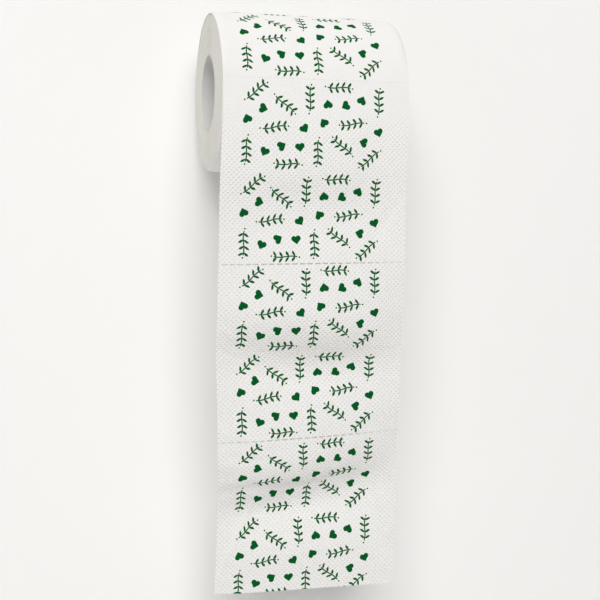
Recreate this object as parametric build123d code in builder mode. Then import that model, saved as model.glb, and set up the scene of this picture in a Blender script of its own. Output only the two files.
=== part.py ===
from build123d import *
import os
from math import copysign, cos, radians, sin

# A toilet paper roll hung on its bore, with three sheets hanging from the front.
# Millimetres, +Z up. The X axis is the roll's axis, and the sheets hang at -Y.
# The origin is the centre of the bore, halfway along the roll.

# The strip of tissue
strip_width = 100.0
sheet_length = 95.0
tissue_thickness = 0.4
hanging_sheets = 3

# The wound roll
roll_radius = 43.0
lap_gap = 0.1
turn_pairs = 6
turn_step = 0.3
inner_land = 0.5
outer_land = 0.9

# The board tube
core_bore_radius = 19.5
core_wall = 0.5
seam_pitch = 88.0
seam_width = 0.4
seam_depth = 0.2
seam_run_out = 2.0

# The perforated lines between the sheets
line_above_front = 3.4
slit_pitch = 4.08
slit_length = 2.9
slit_width = 0.4
torn_short = 5.0

# How the hanging sheets bend. Each bend takes its part of the hanging length, and has the
# angle at its lower end, from straight down towards the front.
bends = [
    (18, 4),
    (20, 0),
    (15, -7),
    (27, 6),
    (34, -2),
    (23, -25),
    (20, 1),
    (34, -8),
    (21, -30),
    (18, 2),
    (16, 3),
    (28, -6),
]

# Worked out from the sizes above
core_radius = core_bore_radius + core_wall
lap_step = tissue_thickness + lap_gap
hanging_length = hanging_sheets * sheet_length - line_above_front - torn_short
slit_count = int(strip_width / slit_pitch)
slit_reach = 2 * tissue_thickness
first_turn_radius = core_radius + inner_land
last_turn_radius = roll_radius - lap_step - outer_land
turn_pair_pitch = (last_turn_radius - first_turn_radius) / (turn_pairs + 0.5)
turn_width = turn_pair_pitch / 2
last_pair_radius = first_turn_radius + turn_pairs * turn_pair_pitch


def hanging_face(depth):
    """Draw one face of the hanging sheets in tangent arcs, depth behind the printed one."""
    all_shares = sum(share for share, _ in bends)
    point, direction, angle = (depth - roll_radius, 0), (0, -1), 0
    for share, next_angle in bends:
        turn = angle - next_angle
        middle_radius = hanging_length * share / all_shares / radians(abs(turn))
        arc = JernArc(point, direction, middle_radius - copysign(depth, turn), turn)
        point, direction, angle = arc @ 1, arc % 1, next_angle
    return point


def winding_line(first_radius):
    """Draw a spiral in half turns about two centres, one pitch wider after each turn."""
    for pair in range(turn_pairs):
        low_radius = first_radius + pair * turn_pair_pitch
        CenterArc((0, 0), low_radius, 180, 180)
        CenterArc((-turn_pair_pitch / 2, 0), low_radius + turn_pair_pitch / 2, 0, 180)


def cut_slits(plane, depth):
    """Cut one row of perforation slits through the paper that lies on the plane."""
    with BuildSketch(plane) as slits:
        with GridLocations(slit_pitch, 0, slit_count, 1):
            Rectangle(slit_length, slit_width)
    extrude(slits.sketch, amount=depth, both=True, mode=Mode.SUBTRACT)


# The printed face of the hanging sheets by itself, to place the perforated lines on
with BuildLine(Plane.YZ) as printed_face:
    hanging_face(0)
printed_path = printed_face.wire()


def sheet_plane(lines_down):
    """Give the plane that touches the printed face where a perforated line crosses it."""
    place = (lines_down * sheet_length - line_above_front) / hanging_length
    outward = Vector(1, 0, 0).cross(printed_path % place)
    return Plane(origin=printed_path @ place, x_dir=(1, 0, 0), z_dir=outward)


line_rise = line_above_front / roll_radius
lap_outward = Vector(0, -cos(line_rise), sin(line_rise))
lap_plane = Plane(origin=lap_outward * roll_radius, x_dir=(1, 0, 0), z_dir=lap_outward)

# The paper: the wound turns, the last lap and the hanging sheets are one strip
with BuildPart() as paper_roll:
    # The last lap covers the top of the roll and leaves it at the front, tangentially.
    # The lap below it is lower by one thickness and a small gap.
    with BuildSketch(Plane.YZ):
        with BuildLine():
            CenterArc((0, 0), roll_radius, 0, 180)
            CenterArc((lap_step / 2, 0), roll_radius - lap_step / 2, 180, 180)
            Line((-roll_radius, 0), (lap_step - roll_radius, 0))
        make_face()
        with BuildLine():
            Line((-roll_radius, 0), (tissue_thickness - roll_radius, 0))
            front_end = hanging_face(0)
            back_end = hanging_face(tissue_thickness)
            Line(front_end, back_end)
        make_face()
        Circle(core_radius, mode=Mode.SUBTRACT)
    extrude(amount=strip_width / 2, both=True)

    # The turns show at both ends as a spiral, because every other turn lies a little lower
    for end, inward in ((strip_width / 2, -turn_step), (-strip_width / 2, turn_step)):
        with BuildSketch(Plane.YZ.offset(end)):
            with BuildLine():
                winding_line(first_turn_radius)
                winding_line(first_turn_radius + turn_width)
                for radius in (first_turn_radius, last_pair_radius):
                    Line((-radius, 0), (-radius - turn_width, 0))
            make_face()
        extrude(amount=inward, mode=Mode.SUBTRACT)

    # The perforated lines: a shallow one in the last lap, and one between each two hanging
    # sheets. The lowest sheet is torn off a little above its own line.
    cut_slits(lap_plane, tissue_thickness)
    for line in range(1, hanging_sheets):
        cut_slits(sheet_plane(line), slit_reach)

# The board tube, wound from strips that meet in a helical seam on the inside
with BuildPart() as core_tube:
    with BuildSketch(Plane.YZ):
        Circle(core_radius)
        Circle(core_bore_radius, mode=Mode.SUBTRACT)
    extrude(amount=strip_width / 2, both=True)

    with BuildLine() as seam:
        Helix(
            pitch=seam_pitch,
            height=strip_width + 2 * seam_run_out,
            radius=core_bore_radius,
            center=(-strip_width / 2 - seam_run_out, 0, 0),
            direction=(1, 0, 0),
        )
    seam_start = seam.line @ 0
    outward = (0, seam_start.Y, seam_start.Z)
    with BuildSketch(Plane(origin=seam_start, x_dir=outward, z_dir=seam.line % 0)):
        with BuildLine():
            Line((seam_depth, 0), (-seam_depth, seam_width))
            Line((-seam_depth, seam_width), (-seam_depth, -seam_width))
            Line((-seam_depth, -seam_width), (seam_depth, 0))
        make_face()
    sweep(is_frenet=True, mode=Mode.SUBTRACT)

paper_roll.part.label = "paper_roll"
core_tube.part.label = "core_tube"

os.makedirs("parts", exist_ok=True)
export_step(paper_roll.part, "parts/paper_roll.step")
export_step(core_tube.part, "parts/core_tube.step")

lowest = printed_path @ 1
print("Sheets end at Y", round(lowest.Y, 1), "Z", round(lowest.Z, 1))
print("Each turn that shows is", round(turn_width, 2), "wide")
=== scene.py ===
# %% [markdown]
# A roll of toilet paper, hung by its tube, with three sheets hanging from the front.
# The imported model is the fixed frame: X runs along the roll's axis, the sheets hang at -Y
# and +Z is up. Everything here is in metres and is made round that frame.
# The real thing is one long strip of tissue on a board tube, so this lesson makes the strip
# flat first, as the paper mill does, and then winds it with one function.

# %% Load the frame
from math import ceil, cos, exp, pi, radians, sin, tau

import bmesh
import bpy
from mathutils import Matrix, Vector, noise


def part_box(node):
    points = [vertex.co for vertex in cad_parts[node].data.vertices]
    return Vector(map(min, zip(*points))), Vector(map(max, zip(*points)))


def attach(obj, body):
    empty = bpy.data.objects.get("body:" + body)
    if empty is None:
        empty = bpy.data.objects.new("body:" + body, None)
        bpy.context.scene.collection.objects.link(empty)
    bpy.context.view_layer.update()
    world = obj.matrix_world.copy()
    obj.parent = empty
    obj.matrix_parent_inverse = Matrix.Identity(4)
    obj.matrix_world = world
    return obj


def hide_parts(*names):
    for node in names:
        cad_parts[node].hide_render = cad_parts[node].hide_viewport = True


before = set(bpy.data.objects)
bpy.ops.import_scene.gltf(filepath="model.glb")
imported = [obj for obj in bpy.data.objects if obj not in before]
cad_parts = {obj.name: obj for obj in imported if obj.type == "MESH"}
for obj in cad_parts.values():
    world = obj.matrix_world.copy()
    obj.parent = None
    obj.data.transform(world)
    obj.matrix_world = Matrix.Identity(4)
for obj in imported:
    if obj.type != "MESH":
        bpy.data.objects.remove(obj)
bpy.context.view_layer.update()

# %% [markdown]
# The sizes come from the frame where it has them: the width of the strip, the radius of the
# roll and of the tube. The rest are the sizes of the paper itself. A household sheet is 95 mm
# long, and two embossed plies are about a third of a millimetre thick.

# %% Sizes
mm = 0.001
paper_low, paper_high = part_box("paper_roll")
strip_width = paper_high.x - paper_low.x
roll_radius = paper_high.z
tube_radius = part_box("core_tube")[1].z

sheet_length = 95 * mm
hanging_sheets = 3
line_above_front = 2.9 * mm
torn_short = 5 * mm
front_along = hanging_sheets * sheet_length - line_above_front
hanging_length = front_along - torn_short
tissue_thickness = 0.3 * mm
print("roll radius", roll_radius, "tube radius", tube_radius, "hanging", hanging_length)

# %% [markdown]
# Seen from the side, the hanging sheets are a chain of gentle bends. Each bend takes its part
# of the hanging length, and its angle is measured from straight down, towards the front. The
# CAD solid has the same bends as arcs. Here they are added up in small steps, which gives the
# place and the slope of the paper at any distance below the roll.

# %% The side line of the hanging sheets
bends = [
    # share of the hanging length, and slope at the bend's lower end in degrees
    (18, 4), (20, 0), (15, -7), (27, 6), (34, -2), (23, -25),
    (20, 1), (34, -8), (21, -30), (18, 2), (16, 3), (28, -6),
]
path_step = 0.25 * mm


def angle_at(down):
    """Give the slope of the paper, so far down the printed face."""
    left = down / hanging_length * sum(length for length, _ in bends)
    before = 0.0
    for length, after in bends:
        if left < length:
            return radians(before + (after - before) * left / length)
        left -= length
        before = after
    return radians(before)


def walk_down():
    """List (y, z, angle) every path_step down the printed face, from the roll's front."""
    places = [(-roll_radius, 0.0, 0.0)]
    for step in range(ceil(hanging_length / path_step)):
        y, z, _ = places[-1]
        middle = angle_at((step + 0.5) * path_step)
        y -= sin(middle) * path_step
        z -= cos(middle) * path_step
        places.append((y, z, angle_at((step + 1) * path_step)))
    return places


side_line = walk_down()
print("side line ends at y", side_line[-1][0], "z", side_line[-1][1])

# %% [markdown]
# Real tissue never hangs square. This strip drifts a little to the left, turns about the
# vertical as it goes down, so that its right edge comes forward, and tilts, so that its lines
# rise to the right. The folds are deepest in the middle and flattest at the right edge, and
# two of them run askew. Soft ruffles run in from the cut edges, and a few creases are left
# from handling. These tables say how much, and where.

# %% Tables for the hanging sheets
sway = [
    # down from the front and drift in millimetres, turn in degrees, and how far the right edge
    # hangs higher than the middle, in millimetres
    (0, 0, 0, 0),
    (60, -2.1, 0.8, 0.1),
    (120, -3.3, 2.7, 0.5),
    (185, -1.9, 2.2, 1.2),
    (230, 0, 5.4, 0.9),
    (280, -1.5, 5.6, 0.5),
]
askew_folds = [
    # four places down between which a fold comes and goes, and how far it lies higher: in the
    # middle, towards the right and towards both sides, all in millimetres
    ((95, 130, 155, 185), (0, -4, 4)),
    ((170, 200, 220, 250), (-3, 8, 4)),
]
# how much deeper the folds are than on the side line: in the middle, towards the right and
# towards both sides. That starts, is full and fades so far down, and the depth of a fold is
# measured from the places that lie a span above and below it.
deeper_folds = (0.9, -0.15, -1.2)
deeper_starts = 20 * mm
deeper_full = 50 * mm
deeper_fades = 250 * mm
fold_span = 26 * mm
creases = [
    # across 1, down 1, across 2, down 2, half width and lift, all in millimetres
    (-48, 124, -38, 134, 1.6, 0.5),
    (-47, 138, -36, 143, 1.2, -0.4),
    (-49, 181, -20, 190, 2.2, 0.5),
    (-48, 195, -22, 199, 1.8, -0.4),
    (-46, 262, -30, 226, 1.4, 0.5),
    (46, 60, 30, 84, 2.5, -0.4),
    (-8, 219, 20, 212, 3, -0.7),
    (-32, 217, -4, 218, 3.5, -0.8),
    (-52, 218, -28, 216, 4, -0.9),
    (-50, 200, -34, 201, 4, 0.6),
]
crease_overrun = 0.3  # share of its length by which a crease runs out beyond either end
ruffles = [
    # height in millimetres, waves across and down for each metre, layer of the noise, and how
    # closely it keeps to the cut edges
    (0.9, 22, 16, 3.1, 0),
    (0.22, 60, 55, 8.7, 0),
    (0.5, 12, 95, 5.3, 6),
]
ruffle_full = 30 * mm

# %% [markdown]
# Each table gets a function that reads it at one place on the sheets. All of them start or
# end softly, with the same smooth step, so that the paper has no kinks.

# %% Drift, turn, folds, creases and ruffles at a place
def smooth(low, high, value):
    """Rise from 0 at low to 1 at high, with level ends."""
    share = min(max((value - low) / (high - low), 0), 1)
    return share * share * (3 - 2 * share)


def sway_at(down):
    """Give the drift, the turn and the tilt of the sheets, so far down from the front."""
    low, high = next(pair for pair in zip(sway, sway[1:]) if down <= pair[1][0] * mm)
    share = smooth(low[0] * mm, high[0] * mm, down)
    drift, turn, tilt = [a + (b - a) * share for a, b in zip(low[1:], high[1:])]
    return drift * mm, radians(turn), tilt * mm


def by_side(side, parts):
    """Add up a part for the middle, one that grows to the right and one to both sides."""
    return sum(part * side ** power for power, part in enumerate(parts))


def askew_at(side, down):
    """Give how far the folds lie higher than on the side line."""
    askew = 0.0
    for (first, full, fading, last), parts in askew_folds:
        share = smooth(first * mm, full * mm, down) * smooth(last * mm, fading * mm, down)
        askew += share * by_side(side, parts) * mm
    return askew


def crease_lift(across, down):
    """Add up the creases at one place on the sheets."""
    place = Vector((across, down))
    lift = 0.0
    for across1, down1, across2, down2, half_width, height in creases:
        start = Vector((across1, down1)) * mm
        run = Vector((across2, down2)) * mm - start
        share = (place - start).dot(run) / run.length_squared
        if -crease_overrun < share < 1 + crease_overrun:
            away = (place - start - share * run).length / (half_width * mm)
            fade_in = smooth(-crease_overrun, crease_overrun, share)
            fade_out = smooth(1 + crease_overrun, 1 - crease_overrun, share)
            lift += height * mm * fade_in * fade_out * exp(-away * away)
    return lift


def ruffle_lift(across, down):
    """Give the soft unevenness of the tissue, which grows towards the cut edges."""
    to_edge = abs(across) / (strip_width / 2)
    lift = sum(
        height * noise.noise(Vector((across * wide, down * long, layer))) * to_edge ** keeps
        for height, wide, long, layer, keeps in ruffles
    )
    return lift * mm * smooth(0, ruffle_full, down)


# %% [markdown]
# One function winds the strip. A place on the flat strip is its distance across from the
# middle and its distance along from the perforated line below the lowest sheet. Below the roll
# it follows the side line. Above that it goes round the roll, over the top first, and the
# radius shrinks as it goes. The cut edges of the last lap round down over the turns below.

# %% Wind the strip
last_lap_step = 0.5 * mm
turn_step = 0.3 * mm
rounded_edge = 3 * mm
edge_drop = 1.2 * mm
edge_drop_full = 30 * mm


def roll_place(across, angle, lift=0.0):
    """Place a point at an angle round the roll, from the front and over the top."""
    turns = angle / tau
    wound_in = last_lap_step * min(turns, 1) + turn_step * max(turns - 1, 0)
    radius = roll_radius - wound_in + lift
    return Vector((across, -radius * cos(angle), radius * sin(angle)))


def side_at(down):
    """Give y, z and the slope of the side line, so far down from the front."""
    just_inside = len(side_line) - 1.001
    step = min(max(down / path_step, 0), just_inside)
    low, share = int(step), step % 1
    return [a + (b - a) * share for a, b in zip(side_line[low], side_line[low + 1])]


def sheet_place(across, down):
    """Place a point of the hanging sheets, so far down from the front of the roll."""
    drift, turn, tilt = sway_at(down)
    side = 2 * across / strip_width
    z, angle = side_at(down)[1:]
    same_fold = down + askew_at(side, down)
    y = side_at(same_fold)[0]
    y_round_it = (side_at(same_fold - fold_span)[0] + side_at(same_fold + fold_span)[0]) / 2
    from_top = smooth(deeper_starts, deeper_full, down)
    to_end = smooth(hanging_length, deeper_fades, down)
    y += (y - y_round_it) * by_side(side, deeper_folds) * from_top * to_end
    lift = ruffle_lift(across, down) + crease_lift(across, down)
    return Vector((
        drift + across * cos(turn),
        y - lift * cos(angle) - across * sin(turn),
        z + lift * sin(angle) + tilt * side,
    ))


def strip_place(across, along):
    """Place a point of the flat strip, so far along from the lowest perforated line."""
    down = front_along - along
    if down >= 0:
        return sheet_place(across, down)
    at_edge = max((abs(across) - strip_width / 2) / rounded_edge + 1, 0)
    drop = edge_drop * at_edge ** 2 * smooth(0, edge_drop_full, -down)
    return roll_place(across, -down / roll_radius, -drop)


# %% [markdown]
# The flat strip is a grid. Its columns and rows don't have to be even: they are closer where
# the perforated lines are, so that each slit is exactly one row of faces, which is deleted
# before the paper gets its thickness. That makes real holes. Where the strip lies tight on
# the roll the slits hardly open, so they are narrower there.

# %% Cut the flat strip
slit_pitch = 4.08 * mm
slit_length = 2.9 * mm
slit_width = 0.5 * mm
shut_slit_width = 0.05 * mm
slit_count = int(strip_width / slit_pitch)
cells_in_slit = 3
edge_step = 0.4 * mm
row_step = 1.3 * mm


def steps_between(low, high, step):
    """Divide a stretch evenly, in steps of about the given size, without its last end."""
    count = max(1, round((high - low) / step))
    return [low + (high - low) * i / count for i in range(count)]


def slit_middle(slit):
    """Give the place of a slit across the strip, counted from the left."""
    return (slit - (slit_count - 1) / 2) * slit_pitch


def strip_columns():
    """List the places across the strip, with a line at both ends of every slit."""
    ends = [-strip_width / 2]
    for slit in range(slit_count):
        ends += [slit_middle(slit) - slit_length / 2, slit_middle(slit) + slit_length / 2]
    ends.append(strip_width / 2)
    columns = []
    for low, high in zip(ends, ends[1:]):
        at_edge = low == ends[0] or high == ends[-1]
        step = edge_step if at_edge else slit_length / cells_in_slit
        columns += steps_between(low, high, step)
    return columns + [strip_width / 2]


def strip_rows(start, lines, end, step):
    """List the places along the strip, with one row as high as the slits at every line."""
    rows = [start]
    for line, width in lines:
        rows += steps_between(rows.pop(), line - width / 2, step)
        rows += [line - width / 2, line + width / 2]
    rows += steps_between(rows.pop(), end, step)
    return rows + [end]


def flat_grid(columns, rows):
    """Make a flat grid with its lines at these places, and its flat map in millimetres."""
    sheet = bmesh.new()
    bmesh.ops.create_grid(sheet, x_segments=len(columns) - 1, y_segments=len(rows) - 1, size=1)
    for vert in sheet.verts:
        column = round((vert.co.x + 1) / 2 * (len(columns) - 1))
        row = round((vert.co.y + 1) / 2 * (len(rows) - 1))
        vert.co = (columns[column], rows[row], 0)
    flat_map = sheet.loops.layers.uv.new("Flat")
    for face in sheet.faces:
        for loop in face.loops:
            loop[flat_map].uv = loop.vert.co.xy / mm
    return sheet


def in_a_slit(place):
    """Tell whether a place on the flat strip lies in one of the slits."""
    slit = round(place.x / slit_pitch + (slit_count - 1) / 2)
    from_middle = abs(place.x - slit_middle(slit))
    in_column = 0 <= slit < slit_count and from_middle < slit_length / 2
    from_line = (place.y + sheet_length / 2) % sheet_length - sheet_length / 2
    return in_column and abs(from_line) < slit_width / 2


# %% [markdown]
# A placed grid is still only a surface. Solidify gives it the thickness of the tissue behind
# the printed face, and puts the back and the cut edges in material slots of their own: the
# printed side is slot 0, the plain back is slot 1 and the cut edge is slot 2. The modifier is
# applied, so that the cut edges can be kept crisp by angle.

# %% Thickness for a sheet of paper
crisp_angle = radians(50)


def paper_piece(name, sheet, thickness, finishes):
    """Turn a placed grid into a paper piece with a front, a back and cut edges."""
    mesh = bpy.data.meshes.new(name)
    sheet.to_mesh(mesh)
    sheet.free()
    for finish in finishes:
        mesh.materials.append(finish)
    piece = bpy.data.objects.new(name, mesh)
    bpy.context.scene.collection.objects.link(piece)
    walls = piece.modifiers.new("Thickness", "SOLIDIFY")
    walls.thickness = thickness
    walls.offset = -1
    walls.material_offset = 1
    walls.material_offset_rim = 2
    evaluated = piece.evaluated_get(bpy.context.evaluated_depsgraph_get())
    solid = bpy.data.meshes.new_from_object(evaluated)
    piece.modifiers.clear()
    piece.data = solid
    solid.shade_smooth()
    solid.set_sharp_from_angle(angle=crisp_angle)
    triangles = sum(len(face.vertices) - 2 for face in solid.polygons)
    print(name, "has", triangles, "triangles")
    return piece


# %% [markdown]
# Materials come next. Each one is written as a small formula in nodes, so every helper adds
# one kind of node, feeds it with numbers or with the results of other nodes, and hands back
# its own result. The last two start a node group and put it to use.

# %% Helpers for node formulas
def feed(tree, socket, value):
    """Link a node's output to a socket, or set the socket to a plain value."""
    if isinstance(value, bpy.types.NodeSocket):
        tree.links.new(value, socket)
    else:
        socket.default_value = value


def calc(tree, operation, *values):
    """Add a Math node and give its result."""
    node = tree.nodes.new("ShaderNodeMath")
    node.operation = operation
    for socket, value in zip(node.inputs, values):
        feed(tree, socket, value)
    return node.outputs["Value"]


def blended(tree, share, first, second):
    """Add two values, the first with its share and the second with the rest."""
    second = calc(tree, "MULTIPLY", second, 1 - share)
    return calc(tree, "ADD", calc(tree, "MULTIPLY", first, share), second)


def vector_calc(tree, operation, *values):
    """Add a Vector Math node and give its number for LENGTH, and its vector otherwise."""
    node = tree.nodes.new("ShaderNodeVectorMath")
    node.operation = operation
    for socket, value in zip(node.inputs, values):
        feed(tree, socket, value)
    return node.outputs["Value" if operation == "LENGTH" else "Vector"]


def split(tree, vector):
    """Give the X and Y of a vector."""
    node = tree.nodes.new("ShaderNodeSeparateXYZ")
    feed(tree, node.inputs["Vector"], vector)
    return node.outputs["X"], node.outputs["Y"]


def joined(tree, x, y, z=0.0):
    """Make a vector from numbers or sockets."""
    node = tree.nodes.new("ShaderNodeCombineXYZ")
    for socket, value in zip(node.inputs, (x, y, z)):
        feed(tree, socket, value)
    return node.outputs["Vector"]


def soft_step(tree, value, low, high, from_low=0.0, to_high=1.0):
    """Rise smoothly from one value at low to another at high."""
    node = tree.nodes.new("ShaderNodeMapRange")
    node.interpolation_type = "SMOOTHSTEP"
    for name, number in (("Value", value), ("From Min", low), ("From Max", high),
                         ("To Min", from_low), ("To Max", to_high)):
        feed(tree, node.inputs[name], number)
    return node.outputs["Result"]


def noise_of(tree, vector, scale, detail=2.0):
    """Add a Noise texture and give its value, about 0.5 on average."""
    node = tree.nodes.new("ShaderNodeTexNoise")
    feed(tree, node.inputs["Vector"], vector)
    node.inputs["Scale"].default_value = scale
    node.inputs["Detail"].default_value = detail
    return node.outputs["Fac"]


def new_group(name, inputs, outputs):
    """Start a shader node group and give its tree, its input node and its output node."""
    tree = bpy.data.node_groups.new(name, "ShaderNodeTree")
    for label, kind in inputs:
        tree.interface.new_socket(label, in_out="INPUT", socket_type="NodeSocket" + kind)
    for label, kind in outputs:
        tree.interface.new_socket(label, in_out="OUTPUT", socket_type="NodeSocket" + kind)
    return tree, tree.nodes.new("NodeGroupInput"), tree.nodes.new("NodeGroupOutput")


def place_group(tree, group, **values):
    """Put a node group in a tree, feed its inputs by name and give the node."""
    node = tree.nodes.new("ShaderNodeGroup")
    node.node_tree = group
    for label, value in values.items():
        feed(tree, node.inputs[label], value)
    return node


# %% [markdown]
# The tissue is embossed with a lattice of small dots, in rows that are shifted by half, which
# reads as fine diagonal lines. Turning the flat map by 45 degrees makes that lattice a plain
# square one, so a dot is just the distance to the middle of its cell.

# %% Emboss
dot_row = 2.6  # millimetres between the dots of a row
dot_rim = 0.42  # cells from the middle of a dot to its rim
dot_floor = 0.2 * dot_rim


def build_emboss():
    """Dots of the emboss: how far each point of the tissue is pressed in, from 0 to 1."""
    tree, given, made = new_group("Tissue_emboss", [("Flat", "Vector")], [("Pressed", "Float")])
    across, along = split(tree, given.outputs["Flat"])
    cell = (
        calc(tree, "DIVIDE", calc(tree, "ADD", across, along), dot_row),
        calc(tree, "DIVIDE", calc(tree, "SUBTRACT", across, along), dot_row),
    )
    from_middle = [calc(tree, "SUBTRACT", calc(tree, "FRACT", c), 0.5) for c in cell]
    distance = vector_calc(tree, "LENGTH", joined(tree, *from_middle))
    pressed = soft_step(tree, distance, dot_rim, dot_floor)
    tree.links.new(pressed, made.inputs["Pressed"])
    return tree


emboss = build_emboss()

# %% [markdown]
# Close up, tissue is a mat of short fibres with fine crepe lines that run across the strip.
# Stretching a noise along one direction gives the crepe, and a finer noise gives the fibres.
# The group puts out a height for the bump and a tone for the colour.

# %% Fibres and crepe
crepe_stretch = (0.5, 3.0, 1.0)
crepe_waves = 1.0  # waves for each millimetre
mat_waves = 2.6
cloud_waves = 0.11
crepe_share = 0.55
tone_share = 0.4


def build_fibres():
    """Fibres and crepe of the tissue, on a map in millimetres."""
    outputs = [("Height", "Float"), ("Tone", "Float")]
    tree, given, made = new_group("Tissue_fibres", [("Flat", "Vector")], outputs)
    flat = given.outputs["Flat"]
    crepe = noise_of(tree, vector_calc(tree, "MULTIPLY", flat, crepe_stretch), crepe_waves)
    mat = noise_of(tree, flat, mat_waves, detail=3.0)
    cloud = noise_of(tree, flat, cloud_waves)
    tree.links.new(blended(tree, crepe_share, crepe, mat), made.inputs["Height"])
    tree.links.new(blended(tree, tone_share, mat, cloud), made.inputs["Tone"])
    return tree


fibres = build_fibres()

# %% [markdown]
# The print is a small green pattern of hearts and leafy sprigs. Each motif is drawn by its
# distance: below zero is ink. A heart is a square on its corner joined to two round lobes. A
# sprig is a bent stem with pairs of leaves and a dot at either end. The two halves of a heart
# are alike, and so are the two sides of a stem, so absolute values draw both at once. Sizes
# are in millimetres, as on the flat map.

# %% Motifs of the print
heart_size = 4.2
square_low, square_top = 0.05, 0.37  # in shares of the heart's size, and so are the lobes
lobe_across, lobe_up, lobe_radius = 0.27, 0.19, 0.33
lobe_join = 0.06

sprig_reach = 6.2
stem_half = 0.34
stem_bend = 0.45
stem_bend_rate = 0.42
leaf_gap = 3.3
leaf_half_width = 0.72
leaf_half_length = 1.3
leaf_off_stem = 0.2
leaf_slant = 0.55
dot_place = 7.4
dot_half = 0.45


def build_heart():
    """Distance to a heart whose middle is at the origin, with its tip towards -Y."""
    tree, given, made = new_group("Print_heart", [("Place", "Vector")], [("Distance", "Float")])
    unit = vector_calc(tree, "SCALE", given.outputs["Place"])
    unit.node.inputs["Scale"].default_value = 1 / heart_size
    x, y = split(tree, unit)
    side = calc(tree, "ABSOLUTE", x)
    height = calc(tree, "ABSOLUTE", calc(tree, "ADD", y, square_low))
    past_corner = calc(tree, "SUBTRACT", calc(tree, "ADD", side, height), 0.5)
    square = calc(tree, "MULTIPLY", past_corner, 2 ** -0.5)
    square = calc(tree, "MAXIMUM", square, calc(tree, "SUBTRACT", y, square_top))
    lobe_x = calc(tree, "SUBTRACT", side, lobe_across)
    lobe_y = calc(tree, "SUBTRACT", y, lobe_up)
    lobe = vector_calc(tree, "LENGTH", joined(tree, lobe_x, lobe_y))
    lobe = calc(tree, "SUBTRACT", lobe, lobe_radius)
    distance = calc(tree, "SMOOTH_MIN", square, lobe, lobe_join)
    tree.links.new(calc(tree, "MULTIPLY", distance, heart_size), made.inputs["Distance"])
    return tree


def build_sprig():
    """Distance to a sprig that lies along X, with its middle at the origin."""
    tree, given, made = new_group("Print_sprig", [("Place", "Vector")], [("Distance", "Float")])
    x, y = split(tree, given.outputs["Place"])
    from_middle = calc(tree, "ABSOLUTE", x)
    bend = calc(tree, "SINE", calc(tree, "MULTIPLY", x, stem_bend_rate))
    bend = calc(tree, "MULTIPLY", bend, stem_bend)
    off_stem = calc(tree, "ABSOLUTE", calc(tree, "SUBTRACT", y, bend))
    past_end = calc(tree, "SUBTRACT", from_middle, sprig_reach)
    stem = calc(tree, "MAXIMUM", calc(tree, "SUBTRACT", off_stem, stem_half), past_end)
    in_pair = calc(tree, "SUBTRACT", calc(tree, "WRAP", x, leaf_gap, 0), leaf_gap / 2)
    leaf_x = calc(tree, "SUBTRACT", in_pair, calc(tree, "MULTIPLY", off_stem, leaf_slant))
    leaf_y = calc(tree, "SUBTRACT", off_stem, leaf_half_length + leaf_off_stem)
    leaf_place = joined(
        tree,
        calc(tree, "DIVIDE", leaf_x, leaf_half_width),
        calc(tree, "DIVIDE", leaf_y, leaf_half_length),
    )
    from_rim = calc(tree, "SUBTRACT", vector_calc(tree, "LENGTH", leaf_place), 1)
    leaf = calc(tree, "MULTIPLY", from_rim, leaf_half_width)
    past_leaves = calc(tree, "SUBTRACT", from_middle, 2 * leaf_gap)
    leaf = calc(tree, "MAXIMUM", leaf, past_leaves)
    dot_at = joined(tree, calc(tree, "SUBTRACT", from_middle, dot_place), y)
    dot = calc(tree, "SUBTRACT", vector_calc(tree, "LENGTH", dot_at), dot_half)
    distance = calc(tree, "MINIMUM", calc(tree, "MINIMUM", stem, leaf), dot)
    tree.links.new(distance, made.inputs["Distance"])
    return tree


motif_groups = {"heart": build_heart(), "sprig": build_sprig()}

# %% [markdown]
# The motifs repeat down two columns, and the second column is the first one turned upside
# down. Every motif repeats by itself: its distance to the nearest copy is found by wrapping.
# The repeat is half a sheet long, and no motif lies on a perforated line. The nearest motif
# wins, and a little noise on the distance gives the ink its soaked edge.

# %% Layout of the print
print_left = -40.0
column_width = 38.0
repeat_length = sheet_length / mm / 2
soak_waves = 2.2
soak_depth = 0.14
ink_edge = 0.08
motifs = [
    # motif, across and along in the tile in millimetres, turn in degrees
    ("sprig", 17.0, 22.5, 5),
    ("sprig", 24.9, 3.8, 177),
    ("sprig", 35.7, 37.3, 86),
    ("sprig", 2.9, 10.9, 265),
    ("sprig", 7.1, 40.5, 37),
    ("sprig", 22.3, 34.4, 319),
    ("heart", 11.1, 31.9, 75),
    ("heart", 30.8, 12.4, 8),
    ("heart", 32.9, 22.0, 35),
    ("heart", 12.3, 9.9, 336),
    ("heart", 2.7, 26.7, 200),
    ("heart", 21.3, 13.1, 120),
]


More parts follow.
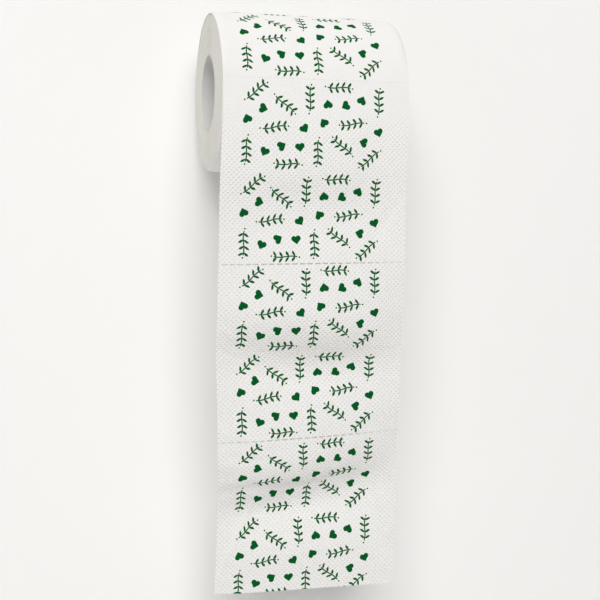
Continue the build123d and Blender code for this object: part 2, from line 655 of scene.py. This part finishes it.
def build_print():
    """Mask of the ink, on the flat map in millimetres."""
    tree, given, made = new_group("Green_print", [("Flat", "Vector")], [("Ink", "Float")])
    across, along = split(tree, given.outputs["Flat"])
    from_left = calc(tree, "SUBTRACT", across, print_left)
    column = calc(tree, "FLOOR", calc(tree, "DIVIDE", from_left, column_width))
    way_up = calc(tree, "SUBTRACT", 1, calc(tree, "MULTIPLY", column, 2))
    tile_x = calc(tree, "MULTIPLY", from_left, way_up)
    tile_x = calc(tree, "ADD", tile_x, calc(tree, "MULTIPLY", column, 2 * column_width))
    tile_y = calc(tree, "MULTIPLY", along, way_up)
    nearest = None
    for motif, x, y, turn in motifs:
        away_x = calc(tree, "SUBTRACT", tile_x, x)
        away_y = calc(tree, "SUBTRACT", tile_y, y)
        away_y = calc(tree, "WRAP", away_y, repeat_length / 2, -repeat_length / 2)
        turned = tree.nodes.new("ShaderNodeVectorRotate")
        turned.rotation_type = "Z_AXIS"
        feed(tree, turned.inputs["Vector"], joined(tree, away_x, away_y))
        turned.inputs["Angle"].default_value = -radians(turn)
        placed = place_group(tree, motif_groups[motif], Place=turned.outputs["Vector"])
        distance = placed.outputs["Distance"]
        nearest = distance if nearest is None else calc(tree, "MINIMUM", nearest, distance)
    soaked = calc(tree, "SUBTRACT", noise_of(tree, given.outputs["Flat"], soak_waves), 0.5)
    soaked = calc(tree, "MULTIPLY", soaked, soak_depth)
    ink = soft_step(tree, calc(tree, "ADD", nearest, soaked), ink_edge, -ink_edge)
    in_columns = calc(tree, "COMPARE", column, 0.5, 0.6)  # columns 0 and 1
    tree.links.new(calc(tree, "MULTIPLY", ink, in_columns), made.inputs["Ink"])
    return tree


green_print = build_print()

# %% [markdown]
# The perforating blade has left a shallow dent along its lines. The lips of each slit get a
# painted shade, which stands for the shadow in the slit together with the grey of its torn
# fibres. The dent is drawn by the distance to the nearest line, and the painted shade by that
# and by the distance to the nearest slit. As there is an even number of slits, their middles
# lie half a pitch off the middle of the strip. The marks end where the strip lies on the roll.

# %% Marks of the perforated lines
top_line = hanging_sheets * sheet_length / mm
marks_end = top_line - 2
marks_full = top_line - 4
dent_depth = 0.1
dent_half_width = 1.2
# how far the painted shade at the lips reaches beyond a slit, in millimetres
lip_width = 0.3


def build_line_marks():
    """Depth of the dents and mask of the painted shade at the lips of the slits, in
    millimetres.
    """
    outputs = [("Dent", "Float"), ("Lip_shade", "Float")]
    tree, given, made = new_group("Line_marks", [("Flat", "Vector")], outputs)
    across, along = split(tree, given.outputs["Flat"])
    half_sheet, half_pitch, half_length, half_width = (
        size / mm / 2 for size in (sheet_length, slit_pitch, slit_length, slit_width)
    )
    hanging_free = soft_step(tree, along, marks_end, marks_full)
    from_line = calc(tree, "ABSOLUTE", calc(tree, "WRAP", along, half_sheet, -half_sheet))
    dent = calc(tree, "MULTIPLY", soft_step(tree, from_line, dent_half_width, 0), dent_depth)
    from_slit = calc(tree, "WRAP", across, 2 * half_pitch, 0)
    from_slit = calc(tree, "ABSOLUTE", calc(tree, "SUBTRACT", from_slit, half_pitch))
    # mask of the painted shade at the lips of each slit, for the shadow in the slit and the
    # grey of its torn fibres
    by_slit = soft_step(tree, from_slit, half_length, half_length - lip_width)
    by_line = soft_step(tree, from_line, half_width + lip_width, half_width)
    lip_shade_mask = calc(tree, "MULTIPLY", by_slit, by_line)
    for mark, label in ((dent, "Dent"), (lip_shade_mask, "Lip_shade")):
        tree.links.new(calc(tree, "MULTIPLY", mark, hanging_free), made.inputs[label])
    return tree


line_marks = build_line_marks()

# %% [markdown]
# The printed face, the plain back and the cut edge are three finishes of the same tissue.
# The first two read the flat map, so that emboss and print run round the roll with the paper.
# Tissue has no gloss to speak of, so its roughness is high and its specular level is low.
# The emboss is pressed flat where the strip lies tight on the roll. Depths are in millimetres.

# %% Tissue finishes
matt_specular = 0.05
tissue_white = (0.9, 0.895, 0.88)
tissue_shade = (0.85, 0.84, 0.82)
ink_green = (0.0005, 0.1, 0.018)
# painted shade at the lips of the slits, for the shadow in them and the grey of their torn
# fibres
painted_lip_shade = (0.66, 0.655, 0.64)
# the cut edge is warmer than the faces, and darker on average as a painted shade for the gaps
# between the wound turns
cut_white = (0.9, 0.88, 0.85)
cut_fuzz_and_painted_shade = (0.74, 0.71, 0.66)
emboss_depth = 0.28
emboss_on_roll = 0.1 * emboss_depth
emboss_fades = 36
fibre_depth = 0.03
fuzz_waves = 1.6 / mm
fuzz_depth = 0.05


def new_material(name, roughness):
    """Start a material and give its tree and its Principled shader."""
    material = bpy.data.materials.new(name)
    material.use_nodes = True
    shader = material.node_tree.nodes["Principled BSDF"]
    shader.inputs["Roughness"].default_value = roughness
    shader.inputs["Specular IOR Level"].default_value = matt_specular
    return material, material.node_tree, shader


def mixed(tree, factor, first, second):
    """Mix two colours by a factor and give the result."""
    node = tree.nodes.new("ShaderNodeMix")
    node.data_type = "RGBA"
    feed(tree, node.inputs[0], factor)
    for socket, colour in ((node.inputs[6], first), (node.inputs[7], second)):
        feed(tree, socket, colour if isinstance(colour, bpy.types.NodeSocket) else (*colour, 1))
    return node.outputs[2]


def raised(tree, shader, height):
    """Feed a height in millimetres to the shader's normal."""
    bump = tree.nodes.new("ShaderNodeBump")
    bump.inputs["Distance"].default_value = mm
    feed(tree, bump.inputs["Height"], height)
    tree.links.new(bump.outputs["Normal"], shader.inputs["Normal"])


def tissue_finish(name, printed):
    """The embossed tissue, with the print or without it."""
    material, tree, shader = new_material(name, roughness=0.9)
    uv_map = tree.nodes.new("ShaderNodeUVMap")
    uv_map.uv_map = "Flat"
    flat = uv_map.outputs["UV"]
    fibre, dots, marks = [
        place_group(tree, group, Flat=flat).outputs for group in (fibres, emboss, line_marks)
    ]
    along = split(tree, flat)[1]
    emboss_starts = top_line - emboss_fades
    strength = soft_step(tree, along, emboss_starts, top_line, emboss_depth, emboss_on_roll)
    pressed = calc(tree, "MULTIPLY", dots["Pressed"], strength)
    height = calc(tree, "MULTIPLY", fibre["Height"], fibre_depth)
    height = calc(tree, "SUBTRACT", calc(tree, "SUBTRACT", height, pressed), marks["Dent"])
    colour = mixed(tree, fibre["Tone"], tissue_shade, tissue_white)
    # the lips of the slits get a painted shade, for the shadow in the slits and the grey of
    # their torn fibres
    colour = mixed(tree, marks["Lip_shade"], colour, painted_lip_shade)
    if printed:
        ink = place_group(tree, green_print, Flat=flat).outputs["Ink"]
        colour = mixed(tree, ink, colour, ink_green)
    tree.links.new(colour, shader.inputs["Base Color"])
    raised(tree, shader, height)
    return material


def cut_edge_finish():
    """The cut edge of the tissue: warmer, with loose fibres, and a little darker as a painted
    shade for the gaps between the wound turns.
    """
    material, tree, shader = new_material("cut_tissue", roughness=0.95)
    place = tree.nodes.new("ShaderNodeTexCoord").outputs["Object"]
    fuzz = noise_of(tree, place, fuzz_waves, detail=3.0)
    # the fuzz mixes the warmer edge tone, darker on average as a painted shade for the gaps
    # between the turns
    tree.links.new(mixed(tree, fuzz, cut_fuzz_and_painted_shade, cut_white), shader.inputs["Base Color"])
    raised(tree, shader, calc(tree, "MULTIPLY", fuzz, fuzz_depth))
    return material


tissue_finishes = [
    tissue_finish("printed_tissue", True),
    tissue_finish("plain_tissue", False),
    cut_edge_finish(),
]

# %% [markdown]
# The tube is wound from board. Its cut ends show the tan fibre, and a paler liner covers the
# inside, with the flecks and soft clouds of the waste paper that it is made of.

# %% Board finish
board_tan = (0.74, 0.70, 0.64)
liner_grey = (0.80, 0.79, 0.78)
liner_shade = tuple(0.88 * part for part in liner_grey)
fleck_waves = 1.1 / mm
board_cloud_waves = 0.12 / mm
fleck_share = 0.6
fleck_depth = 0.08
liner_ends = 0.3 * mm
board_starts = 0.1 * mm


def board_finish():
    """The tube: tan board at its cut ends, and a pale liner of pressed waste fibre inside."""
    material, tree, shader = new_material("tube_board", roughness=0.85)
    place = tree.nodes.new("ShaderNodeTexCoord").outputs["Object"]
    fleck = noise_of(tree, place, fleck_waves, detail=4.0)
    cloud = noise_of(tree, place, board_cloud_waves)
    liner = mixed(tree, blended(tree, fleck_share, fleck, cloud), liner_shade, liner_grey)
    from_middle = calc(tree, "ABSOLUTE", split(tree, place)[0])
    half = strip_width / 2
    at_end = soft_step(tree, from_middle, half - liner_ends, half - board_starts)
    tree.links.new(mixed(tree, at_end, liner, board_tan), shader.inputs["Base Color"])
    raised(tree, shader, calc(tree, "MULTIPLY", fleck, fleck_depth))
    return material


tube_board = board_finish()

# %% [markdown]
# The last lap and the hanging sheets are one piece of paper. It starts as a flat grid, loses
# the faces of its slits, and is then placed by the winding function. The lowest row of points
# is moved first, because the strip was torn off above its line and tissue never tears straight.

# %% The last lap and the hanging sheets
torn_waves = [
    # height in millimetres, waves for each millimetre and place in the noise
    (0.8, 0.04, (4.2, 0.3)),
    (0.3, 0.9, (9.1, 0.6)),
]
lap_length = tau * roll_radius
strip_end = front_along + lap_length
perforated_lines = [
    (line * sheet_length, slit_width if line < hanging_sheets else shut_slit_width)
    for line in range(1, int(strip_end / sheet_length) + 1)
]
strip_lines = strip_rows(torn_short, perforated_lines, strip_end, row_step)
hanging = flat_grid(strip_columns(), strip_lines)
slits = [face for face in hanging.faces if in_a_slit(face.calc_center_median())]
bmesh.ops.delete(hanging, geom=slits, context="FACES")
lowest_row = [vert for vert in hanging.verts if vert.co.y < torn_short + row_step / 2]
for vert in lowest_row:
    vert.co.y += mm * sum(
        height * noise.noise(Vector((vert.co.x / mm * waves, *place)))
        for height, waves, place in torn_waves
    )
for vert in hanging.verts:
    vert.co = strip_place(vert.co.x, vert.co.y)
hanging_sheet = paper_piece("last_lap_and_sheets", hanging, tissue_thickness, tissue_finishes)
print(len(slits), "faces cut out for the slits")

# %% [markdown]
# Under the last lap lie the other turns, one long spiral of the same strip. Only its two cut
# edges can be seen, so it has two columns and thousands of rows. Each turn lies a little
# further in or out than its neighbour, and that is what makes the ends look wound. The first
# few turns lie deeper, because the last lap rounds down over them.

# %% The wound turns
wound_thickness = 0.27 * mm
wound_row_step = 2.8 * mm
mean_inset = 0.14
layer_height, layer_waves = 0.06, 0.13  # in millimetres, and waves for each turn
drift_height, drift_waves = 0.07, 0.12
single_height, single_waves = 0.01, 3.7
squeeze_height, squeeze_waves = 0.1, 0.15
outer_inset, outer_turns = 1.75, 1.6  # how much deeper, and in how many turns it dies away
noise_circle = 0.49  # radius of the circle round which the noise is read
first_wound_radius = roll_radius - last_lap_step
wound_turns = int((first_wound_radius - tube_radius - wound_thickness) / turn_step)
wound_angle = wound_turns * tau
wound_length = first_wound_radius * wound_angle - turn_step * wound_angle ** 2 / (2 * tau)


def angle_after(length):
    """Give the angle that a length of strip has gone round, inwards from the last lap."""
    left = first_wound_radius ** 2 - 2 * turn_step * length / tau
    return (first_wound_radius - left ** 0.5) * tau / turn_step


def noise_round(angle, start, layer):
    """Read the noise round a small circle, so that it joins up with itself after a turn."""
    x, y = start
    circle = Vector((noise_circle * cos(angle) + x, noise_circle * sin(angle) + y, layer))
    return noise.noise(circle)


def edge_inset(turn, angle, side):
    """Give how far the cut edge of a turn lies inside the full width of the strip."""
    # the side moves every reading of the noise, so that the two ends differ
    layers = noise.noise(Vector((turn * layer_waves, side * 7.0, 1.0)))
    drift = noise_round(angle, (7.5, 5.5), turn * drift_waves + side * 3.0)
    single = noise.noise(Vector((turn * single_waves, side * 11.3, cos(angle) * 0.3 + 0.5)))
    inset = mean_inset + layer_height * layers + drift_height * drift + single_height * single
    return (inset + outer_inset * exp(-turn / outer_turns)) * mm


wound_rows = steps_between(0, wound_length, wound_row_step) + [wound_length]
wound = flat_grid([-strip_width / 2, strip_width / 2], wound_rows)
for vert in wound.verts:
    angle = angle_after(vert.co.y)
    turn = angle / tau
    side = 1 if vert.co.x > 0 else -1
    across = vert.co.x - side * edge_inset(turn, angle, side)
    squeeze = squeeze_height * noise_round(angle, (0.5, 0.5), turn * squeeze_waves)
    vert.co = roll_place(across, angle + tau, squeeze * mm)
wound_roll = paper_piece("wound_turns", wound, wound_thickness, tissue_finishes)
print(wound_turns, "turns,", round(wound_length, 2), "m of strip")

# %% [markdown]
# Both paper pieces stand for the CAD roll, ride on the part's only body and wear the tissue
# finishes. The tube keeps its CAD shape, which is right already, and gets the board material.

# %% Tie the pieces to the frame
for piece in (hanging_sheet, wound_roll):
    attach(piece, "root")
    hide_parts("paper_roll")

core_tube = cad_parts["core_tube"]
core_tube.data.materials.clear()
core_tube.data.materials.append(tube_board)

# %% [markdown]
# The stage is one pale sheet: a wall behind the roll, a cove and a floor below. It is grown
# from a single edge, which is extruded down, spun round the cove and extruded forward. Its
# back is see-through, so that the roll can be looked at from behind as well.

# %% Wall and floor
wall_behind = roll_radius + 5 * mm
floor_height = -0.8
floor_reach = 1.0
cove_radius = 0.12
cove_steps = 16
stage_reach = 2.2
stage_colour = (0.95, 0.945, 0.935)


def stage_finish():
    """Matt pale paint, seen from the front only."""
    material = bpy.data.materials.new("pale_backdrop")
    material.use_nodes = True
    tree = material.node_tree
    shader = tree.nodes["Principled BSDF"]
    shader.inputs["Base Color"].default_value = (*stage_colour, 1)
    shader.inputs["Roughness"].default_value = 1.0
    shader.inputs["Specular IOR Level"].default_value = 0.0
    behind = tree.nodes.new("ShaderNodeNewGeometry").outputs["Backfacing"]
    clear = tree.nodes.new("ShaderNodeBsdfTransparent")
    mix = tree.nodes.new("ShaderNodeMixShader")
    feed(tree, mix.inputs["Fac"], behind)
    tree.links.new(shader.outputs["BSDF"], mix.inputs[1])
    tree.links.new(clear.outputs["BSDF"], mix.inputs[2])
    tree.links.new(mix.outputs["Shader"], tree.nodes["Material Output"].inputs["Surface"])
    return material


def extrude_edges(stage, edges, move):
    """Extrude edges by a vector and give the new edges."""
    made = bmesh.ops.extrude_edge_only(stage, edges=edges)["geom"]
    corners = [v for v in made if isinstance(v, bmesh.types.BMVert)]
    bmesh.ops.translate(stage, verts=corners, vec=move)
    return [e for e in made if isinstance(e, bmesh.types.BMEdge)]


stage = bmesh.new()
ends = [stage.verts.new((x, wall_behind, stage_reach)) for x in (-stage_reach, stage_reach)]
edge = [stage.edges.new(ends)]
edge = extrude_edges(stage, edge, (0, 0, floor_height + cove_radius - stage_reach))
spun = bmesh.ops.spin(
    stage, geom=edge, cent=(0, wall_behind - cove_radius, floor_height + cove_radius),
    axis=(1, 0, 0), angle=-pi / 2, steps=cove_steps, dvec=(0, 0, 0),
)["geom_last"]
edge = [e for e in spun if isinstance(e, bmesh.types.BMEdge)]
extrude_edges(stage, edge, (0, -floor_reach, 0))
bmesh.ops.remove_doubles(stage, verts=stage.verts, dist=1e-6)
bmesh.ops.recalc_face_normals(stage, faces=stage.faces)
stage.faces.ensure_lookup_table()
if stage.faces[0].normal.y > 0:
    bmesh.ops.reverse_faces(stage, faces=stage.faces)
stage_mesh = bpy.data.meshes.new("backdrop")
stage.to_mesh(stage_mesh)
stage.free()
stage_mesh.shade_smooth()
stage_mesh.materials.append(stage_finish())
backdrop = bpy.data.objects.new("backdrop", stage_mesh)
bpy.context.scene.collection.objects.link(backdrop)
print("wall at y", wall_behind, "floor at z", floor_height)

# %% [markdown]
# The light is plain and soft: a pale sky all round, one large lamp in front and above, which
# shades the folds, and a smaller one further to the left, which opens up the end of the roll
# and draws a shadow along the right edge of the sheets.

# %% Light
sky_colour = (0.97, 0.985, 1.0)
sky_strength = 0.285
seen_strength = 0.93
lamp_colour = (1.0, 0.99, 0.97)
lit_place = Vector((0, 0, -0.1))
lamps = [
    # name, place, size in metres and power in watts
    ("soft_lamp", Vector((-0.19, -2.2, 1.18)), 1.3, 32),
    ("left_lamp", Vector((-0.99, -1.87, 1.33)), 0.7, 14),
]


def sky_world():
    """A pale sky that lights softly and looks as pale as the wall where it is seen."""
    world = bpy.data.worlds.new("soft_sky")
    world.use_nodes = True
    tree = world.node_tree
    ray = tree.nodes.new("ShaderNodeLightPath")
    seen = calc(tree, "MAXIMUM", ray.outputs["Is Camera Ray"], ray.outputs["Is Glossy Ray"])
    seen = calc(tree, "MAXIMUM", seen, ray.outputs["Is Transmission Ray"])
    more = calc(tree, "MULTIPLY", seen, seen_strength - sky_strength)
    background = tree.nodes["Background"]
    background.inputs["Color"].default_value = (*sky_colour, 1)
    feed(tree, background.inputs["Strength"], calc(tree, "ADD", sky_strength, more))
    return world


bpy.context.scene.world = sky_world()

for name, place, size, power in lamps:
    lamp = bpy.data.lights.new(name, "AREA")
    lamp.shape = "DISK"
    lamp.size = size
    lamp.energy = power
    lamp.color = lamp_colour
    lamp_object = bpy.data.objects.new(name, lamp)
    lamp_object.location = place
    lamp_object.rotation_euler = (lit_place - place).to_track_quat("-Z", "Y").to_euler()
    bpy.context.scene.collection.objects.link(lamp_object)

# %% [markdown]
# The camera stands where the photograph was taken: to the left of the roll and a little lower,
# turned 15 degrees to the right and tipped 4 degrees down. Its place and its angles were fitted
# to the rims of the roll, the perforated lines and the edges of the sheets.

# %% Camera
camera_place = Vector((-147.3, -544.2, -73.8)) * mm
camera_turn = radians(15.33)
camera_tip = radians(4.08)

camera = bpy.data.cameras.new("camera")
camera.sensor_width = 36
camera.lens = 60
camera_object = bpy.data.objects.new("camera", camera)
camera_object.location = camera_place
camera_object.rotation_euler = (pi / 2 - camera_tip, 0, -camera_turn)
bpy.context.scene.collection.objects.link(camera_object)
bpy.context.scene.camera = camera_object
bpy.context.scene.view_settings.view_transform = "Standard"

# %% Finish
bpy.context.view_layer.update()
